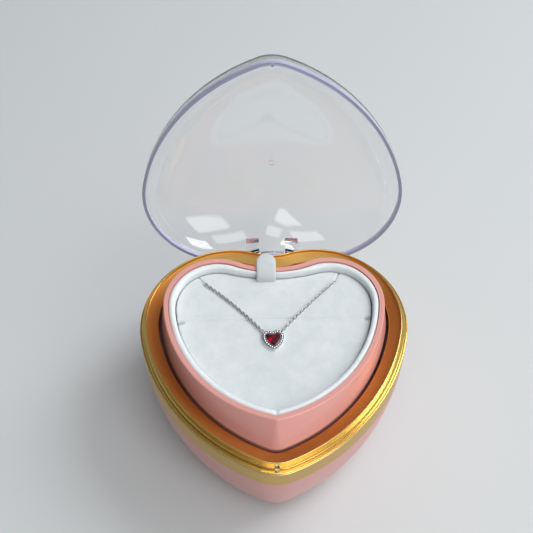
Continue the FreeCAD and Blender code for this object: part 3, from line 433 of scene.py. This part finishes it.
def heart_points(outline, inset, finer):
    """Points round the outline moved in by inset, in mm, always the same number of them."""
    lobe_x = outline["half_width"] - outline["lobe_radius"]
    lobe_y, point_y = outline["lobe_y"], outline["point_y"]
    reach_lobe = outline["side_radius"] - outline["lobe_radius"]
    reach_point = outline["side_radius"] - outline["point_radius"]
    gap = math.hypot(lobe_x, point_y - lobe_y)
    along = (reach_lobe ** 2 - reach_point ** 2 + gap ** 2) / (2.0 * gap)
    off = math.sqrt(reach_lobe ** 2 - along ** 2)
    ux, uy = -lobe_x / gap, (point_y - lobe_y) / gap
    side_x = lobe_x + along * ux + off * uy
    side_y = lobe_y + along * uy - off * ux
    cleft_reach = outline["cleft_radius"] + outline["lobe_radius"]
    cleft_y = lobe_y + math.sqrt(cleft_reach ** 2 - lobe_x ** 2)
    cleft_turn = math.atan2(lobe_y - cleft_y, lobe_x)
    lobe_start = math.atan2(cleft_y - lobe_y, -lobe_x)
    lobe_end = math.atan2(lobe_y - side_y, lobe_x - side_x)
    side_radius = outline["side_radius"] - inset
    point_radius = outline["point_radius"] - inset
    if point_radius > 0.02:
        side_end = math.atan2(point_y - side_y, -side_x)
    else:
        side_end = -math.acos(-side_x / side_radius)
        point_y = side_y + side_radius * math.sin(side_end)
        point_radius = 0.0
    lobe_radius = outline["lobe_radius"] - inset
    arcs = ((lobe_x, lobe_y, lobe_radius, lobe_start, lobe_end),
            (side_x, side_y, side_radius, lobe_end, side_end),
            (0.0, point_y, point_radius, side_end, -math.pi - side_end),
            (-side_x, side_y, side_radius, math.pi - side_end, math.pi - lobe_end),
            (-lobe_x, lobe_y, lobe_radius, math.pi - lobe_end, math.pi - lobe_start),
            (0.0, cleft_y, outline["cleft_radius"] + inset, -math.pi - cleft_turn, cleft_turn))
    points = []
    for (x, y, radius, start, end), count in zip(arcs, ARC_SAMPLES):
        count = round(count * finer)
        for index in range(count):
            angle = start + (end - start) * index / count
            points.append((x + radius * math.cos(angle), y + radius * math.sin(angle)))
    return points


def mesh_piece(name, points, faces, mat):
    """A smooth mesh from points in mm in the heart's frame, with its coincident points merged."""
    mesh = bpy.data.meshes.new(name)
    mesh.from_pydata([(x * MM, (y + HEART_Y) * MM, z * MM) for x, y, z in points], [], faces)
    work = bmesh.new()
    work.from_mesh(mesh)
    bmesh.ops.remove_doubles(work, verts=work.verts, dist=0.000002)
    bmesh.ops.dissolve_degenerate(work, edges=work.edges, dist=0.000001)
    bmesh.ops.recalc_face_normals(work, faces=work.faces)
    work.to_mesh(mesh)
    work.free()
    mesh.polygons.foreach_set("use_smooth", [True] * len(mesh.polygons))
    mesh.materials.append(mat)
    obj = bpy.data.objects.new(name, mesh)
    bpy.context.scene.collection.objects.link(obj)
    return obj


def wave(x, y, scale, seed):
    """Smooth noise between about -1 and 1 at a place in mm."""
    return noise.noise(Vector((x * scale + seed, y * scale - seed, seed)) + SEED)


def rings_to_faces(rings, per_ring, closed):
    """Quads between consecutive rings of points; closed joins the last ring to the first."""
    faces = []
    for ring in range(rings if closed else rings - 1):
        first, second = ring * per_ring, ((ring + 1) % rings) * per_ring
        for index in range(per_ring):
            after = (index + 1) % per_ring
            faces.append((first + index, first + after, second + after, second + index))
    return faces


# ---------------------------------------------------------------- velvet
# heights of the insert's seat and of the pad's flat top
SEAT = 53.5
PAD_TOP = 58.6
BOARD = 1.5
# insets from the cup's outline: the roll's outside and inside, and the pad's edge
ROLL_OUT = 2.08
ROLL_IN = 4.52
PAD_INSET = 4.86
ROLL_TOP, ROLL_LOW = 61.95, 56.5
CROWN = 1.25
SHOULDER = 1.6
# how many times finer than ARC_SAMPLES the roll and the pad are drawn
ROLL_FINER, PAD_FINER = 1.4, 1.6
# the pad is drawn as rings about a centre, closer together near its rounded edge
PAD_CENTRE = (0.0, -6.0)
PAD_EDGE_DEPTHS = (0.0, 0.12, 0.28, 0.48, 0.72, 1.0, 1.4, 1.9)
PAD_RINGS = 110
PAD_ROUND = 0.9
AWAY_FROM_EDGE = 5.0


def velvet_roll(mat):
    """The stuffed velvet roll inside the cup's edge: a rounded crown over two straight sides."""
    top, low = ROLL_TOP, ROLL_LOW
    half = (ROLL_IN - ROLL_OUT) / 2.0
    middle = (ROLL_IN + ROLL_OUT) / 2.0
    profile = [(ROLL_OUT + 0.1, low), (ROLL_OUT + 0.02, low + 1.2), (ROLL_OUT, top - SHOULDER)]
    for step in range(1, 12):
        angle = math.pi * step / 12
        profile.append((middle - half * math.cos(angle), top - CROWN + CROWN * math.sin(angle)))
    profile += [(ROLL_IN, top - SHOULDER), (ROLL_IN - 0.02, low + 1.2), (ROLL_IN - 0.1, low)]
    rings = []
    for inset, _ in profile:
        part = min(1.0, max(0.0, (inset - ROLL_OUT) / (ROLL_IN - ROLL_OUT)))
        outer, inner = heart_points(CUP, inset, ROLL_FINER), heart_points(SOFT, inset, ROLL_FINER)
        rings.append([(a[0] + (b[0] - a[0]) * part, a[1] + (b[1] - a[1]) * part)
                      for a, b in zip(outer, inner)])
    per_ring = len(rings[0])
    points = []
    for (inset, z), ring in zip(profile, rings):
        crown = max(0.0, (z - (top - SHOULDER)) / SHOULDER)
        for x, y in ring:
            lift = 0.10 * wave(x, y, 0.22, 2.0) + 0.05 * wave(x, y, 0.7, 5.0)
            seam = math.exp(-((x / 0.45) ** 2)) * (1.0 if y < -30.0 else 0.0)
            points.append((x, y, z + crown * (lift - 0.12 - 0.75 * seam)))
    obj = mesh_piece("velvet_roll_cloth", points, rings_to_faces(len(rings), per_ring, True), mat)
    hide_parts("velvet_roll")
    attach(obj, "case")


# start and end of each slit that a chain goes into
SLITS = (((-30.6, 21.2), (-27.2, 16.8)), ((26.9, 23.0), (24.3, 17.8)))


def near_line(x, y, start, end):
    """Distance to a segment and the fraction along it."""
    dx, dy = end[0] - start[0], end[1] - start[1]
    part = ((x - start[0]) * dx + (y - start[1]) * dy) / (dx * dx + dy * dy)
    part = min(1.0, max(0.0, part))
    return math.hypot(x - start[0] - part * dx, y - start[1] - part * dy), part


def pad_height(x, y, edge):
    """Top of the pad: rounded at its edge, slightly uneven, folded across, slit at two places."""
    z = PAD_TOP
    if edge < PAD_ROUND:
        z -= PAD_ROUND - math.sqrt(max(0.0, PAD_ROUND ** 2 - (PAD_ROUND - edge) ** 2))
    z += 0.10 * wave(x, y, 0.07, 1.0) + 0.03 * wave(x, y, 0.45, 4.0)
    fold = y - (0.05 + 0.014 * x + 0.7 * (1.0 - (x / 37.0) ** 2))
    far = min(1.0, max(0.0, (abs(x) - 34.4) / 1.6))
    z += 0.30 / (1.0 + math.exp(-fold / 0.22)) + 0.12 * math.exp(-((fold - 0.9) / 0.8) ** 2)
    z -= (0.34 + 2.6 * far) * math.exp(-((fold + 0.35) / (0.34 + 0.16 * far)) ** 2)
    for start, end in SLITS:
        distance, part = near_line(x, y, start, end)
        z -= 1.0 * math.exp(-((distance / 0.32) ** 2)) * (1.0 - 0.5 * part)
    return z


def velvet_pad(mat):
    """The flat velvet pad with its rolled edge, fold and slits."""
    rim = heart_points(SOFT, PAD_INSET, PAD_FINER)
    per_ring = len(rim)
    centre, depths = PAD_CENTRE, PAD_EDGE_DEPTHS
    points = [(x, y, z) for z in (SEAT + BOARD, PAD_TOP - 2.2) for x, y in rim]
    for ring in range(len(depths) + PAD_RINGS):
        for x, y in rim:
            reach = math.hypot(x - centre[0], y - centre[1])
            if ring < len(depths):
                edge = depths[ring]
                part = 1.0 - edge / reach
            else:
                inner = 1.0 - depths[-1] / reach
                part = inner * (1.0 - (ring - len(depths) + 1) / (PAD_RINGS + 1))
                edge = AWAY_FROM_EDGE
            px = centre[0] + (x - centre[0]) * part
            py = centre[1] + (y - centre[1]) * part
            points.append((px, py, pad_height(px, py, edge)))
    rings = len(points) // per_ring
    faces = rings_to_faces(rings, per_ring, False)
    points.append((*centre, pad_height(*centre, AWAY_FROM_EDGE)))
    last = (rings - 1) * per_ring
    faces += [(last + index, last + (index + 1) % per_ring, len(points) - 1)
              for index in range(per_ring)]
    points.append((*centre, SEAT + BOARD))
    faces += [((index + 1) % per_ring, index, len(points) - 1) for index in range(per_ring)]
    obj = mesh_piece("velvet_pad_cloth", points, faces, mat)
    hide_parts("velvet_pad")
    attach(obj, "insert")


# the tab's centre line: its x, half its width, then y and z from its root to its end
TAB_X = -2.8
TAB_HALF = 3.9
TAB_PATH = ((18.15, 55.6), (18.15, 58.6), (18.3, 60.2), (19.1, 61.5), (20.6, 62.2), (23.0, 62.75),
            (25.2, 63.0), (27.2, 63.1), (28.2, 63.1))
TAB_HALF_THICK = 0.6
TAB_SECTION = 20
STEPS_PER_SPAN = 6


def pull_tab(mat):
    """The velvet tab: up from the pad's back edge, over the roll and the cup, round at its end."""
    path = [Vector((0.0, y, z)) for y, z in TAB_PATH]
    samples = []
    for index in range(len(path) - 1):
        before = path[max(0, index - 1)]
        after = path[min(len(path) - 1, index + 2)]
        a, b = path[index], path[index + 1]
        for step in range(STEPS_PER_SPAN):
            part = step / STEPS_PER_SPAN
            samples.append(0.5 * ((2 * a) + (b - before) * part
                                  + (2 * before - 5 * a + 4 * b - after) * part ** 2
                                  + (3 * a - before - 3 * b + after) * part ** 3))
    samples.append(path[-1])
    lengths = [0.0]
    for index in range(1, len(samples)):
        lengths.append(lengths[-1] + (samples[index] - samples[index - 1]).length)
    points, section = [], TAB_SECTION
    for index, place in enumerate(samples):
        ahead = samples[min(index + 1, len(samples) - 1)] - samples[max(index - 1, 0)]
        up = Vector((0.0, -ahead.z, ahead.y)).normalized()
        left = lengths[-1] - lengths[index]
        round_end = min(1.0, left / TAB_HALF)
        half = TAB_HALF * math.sqrt(max(0.0, 1.0 - (1.0 - round_end) ** 2)) * 0.985
        half = max(half, 0.05)
        thick = TAB_HALF_THICK * (0.35 + 0.65 * math.sqrt(max(0.0, min(1.0, left / 0.7))))
        for corner in range(section):
            angle = 2.0 * math.pi * corner / section
            across = math.copysign(abs(math.cos(angle)) ** 0.35, math.cos(angle)) * half
            out = math.copysign(abs(math.sin(angle)) ** 0.75, math.sin(angle)) * thick
            lift = 0.05 * wave(across, lengths[index], 0.5, 8.0)
            spot = place + up * (out + lift)
            points.append((TAB_X + across, spot.y, spot.z))
    faces = rings_to_faces(len(samples), section, False)
    faces.append(tuple(range(section)))
    faces.append(tuple(reversed(range(len(points) - section, len(points)))))
    obj = mesh_piece("pull_tab_cloth", points, faces, mat)
    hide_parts("pull_tab")
    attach(obj, "insert")


camera()
studio()
dress_nodes()
# painted light and shade: the roll is painted lighter and the tab darker than the pad, for how
# light falls on each
velvet_roll(velvet_material("velvet_roll", 1.14))
velvet_pad(velvet_material("velvet_pad", 1.0))
pull_tab(velvet_material("velvet_tab", 0.86))
